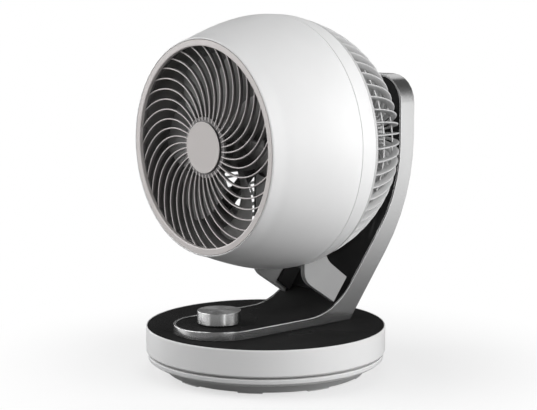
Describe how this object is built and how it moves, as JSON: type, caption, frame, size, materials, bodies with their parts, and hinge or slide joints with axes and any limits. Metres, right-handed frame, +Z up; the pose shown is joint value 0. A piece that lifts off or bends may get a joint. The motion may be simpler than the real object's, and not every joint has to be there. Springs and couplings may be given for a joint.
{
  "type": "air circulator fan",
  "caption": "Table-top air circulator fan: a tilting drum-shaped head on a fork and a cranked arm, which turns on a weighted round base with a rotary speed knob.",
  "frame": {"origin": "on the floor, under the middle of the overall box at rest; the turn axis stands 23 mm in front of it, at Y = -0.023", "axes": "+Z up; the fan blows towards -Y and the upright of the arm is at +Y"},
  "size_m": [0.2522, 0.286, 0.3555],
  "materials": {
    "shell_white": "satin to gloss moulded white",
    "foot_grey": "matte moulded grey",
    "light_grey": "satin moulded light grey",
    "silver_grey": "satin silver paint on plastic",
    "brushed_silver": "fine brushed",
    "gloss_black": "piano black",
    "dark_plastic": "satin charcoal",
    "foot_rubber": "matte",
    "ballast_iron": "rough cast",
    "bare_steel": "zinc plated",
    "motor_housing": "cast",
    "board_green": "solder mask",
    "gear_plastic": "natural acetal"
  },
  "bodies": {
    "base": {"foot_tray": "foot_grey", "lower_band": "shell_white", "counterweight": "ballast_iron", "cord_inlet": "dark_plastic", "foot_1": "foot_rubber", "foot_2": "foot_rubber", "foot_3": "foot_rubber", "foot_4": "foot_rubber", "foot_5": "foot_rubber", "foot_6": "foot_rubber", "foot_7": "foot_rubber", "foot_8": "foot_rubber", "foot_9": "foot_rubber", "spindle": "bare_steel", "sun_gear": "gear_plastic", "retaining_washer": "bare_steel", "spindle_screw": "bare_steel", "thrust_ring": "gear_plastic"},
    "turntable": {"swing_motor": "motor_housing", "base_ring": "shell_white", "turntable_plate": "foot_grey", "top_plate": "gloss_black", "control_board": "board_green", "motor_capacitor": "dark_plastic", "arm_bolt_1": "bare_steel", "arm_bolt_2": "bare_steel", "arm_bolt_3": "bare_steel", "arm_bolt_4": "bare_steel", "switch_body": "dark_plastic", "arm_frame": "brushed_silver", "arm_front_panel": "gloss_black", "arm_rear_panel": "gloss_black", "arm_spine": "bare_steel", "heel_block": "ballast_iron", "fork_plinth": "gloss_black", "fork_left": "light_grey", "fork_cover_left": "light_grey", "fork_right": "light_grey", "fork_cover_right": "light_grey"},
    "pinion": {"swing_pinion": "gear_plastic"},
    "switch_knob": {"knob_shaft": "bare_steel", "knob": "brushed_silver"},
    "head": {"front_shell": "shell_white", "rear_band": "shell_white", "front_bezel": "silver_grey", "front_grille": "silver_grey", "hub_disc": "silver_grey", "air_duct": "dark_plastic", "motor_mount": "dark_plastic", "motor_body": "motor_housing", "motor_cap": "dark_plastic", "rear_grille": "light_grey", "tilt_pin_left": "bare_steel", "friction_washer_left": "bare_steel", "tilt_pin_right": "bare_steel", "friction_washer_right": "bare_steel"},
    "fan": {"impeller": "dark_plastic", "motor_shaft": "bare_steel", "impeller_nut": "dark_plastic"}
  },
  "joints": [
    {"name": "base_turn", "type": "hinge", "parent": "base", "child": "turntable", "pos_m": [0, -0.023, 0.025], "axis": [0, 0, 1], "range_deg": [-40, 40]},
    {"name": "pinion_spin", "type": "hinge", "parent": "turntable", "child": "pinion", "pos_m": [-0.032, -0.023, 0.013], "axis": [0, 0, 1], "range_deg": [-120, 120]},
    {"name": "knob_turn", "type": "hinge", "parent": "turntable", "child": "switch_knob", "pos_m": [0, -0.0836, 0.06], "axis": [0, 0, -1], "range_deg": [0, 135]},
    {"name": "head_tilt", "type": "hinge", "parent": "turntable", "child": "head", "pos_m": [0, 0.0082, 0.2294], "axis": [-1, 0, 0], "range_deg": [0, 40]},
    {"name": "fan_spin", "type": "hinge", "parent": "head", "child": "fan", "pos_m": [0, -0.073, 0.2294], "axis": [0, 1, 0], "continuous": true}
  ],
  "couplings": [
    {"joint": "pinion_spin", "follows": "base_turn", "ratio": 3}
  ]
}
